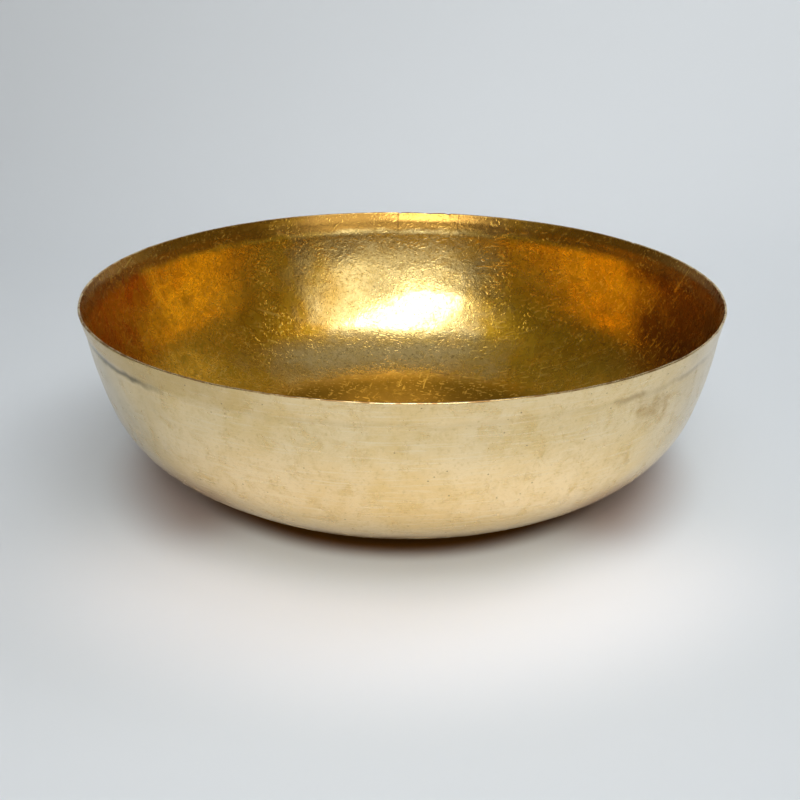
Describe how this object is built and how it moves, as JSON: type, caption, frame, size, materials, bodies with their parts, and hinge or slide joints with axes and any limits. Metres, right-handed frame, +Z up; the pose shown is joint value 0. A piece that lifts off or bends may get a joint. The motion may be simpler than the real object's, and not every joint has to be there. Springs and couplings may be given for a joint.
{
  "type": "shaving bowl",
  "caption": "Wide hand-hammered brass shaving bowl: thin sheet wall, slightly flared collar above a crease, rounded body and a flat bottom.",
  "frame": {"origin": "centre of the flat face that the bowl rests on", "axes": "+Z up, along the bowl's axis of revolution, towards its open mouth"},
  "size_m": [0.28, 0.28, 0.084],
  "materials": {
    "hammered_brass": "satin, hammered by hand, with a thin brown patina and fine scratches"
  },
  "bodies": {
    "root": {"bowl": "hammered_brass"}
  },
  "joints": []
}
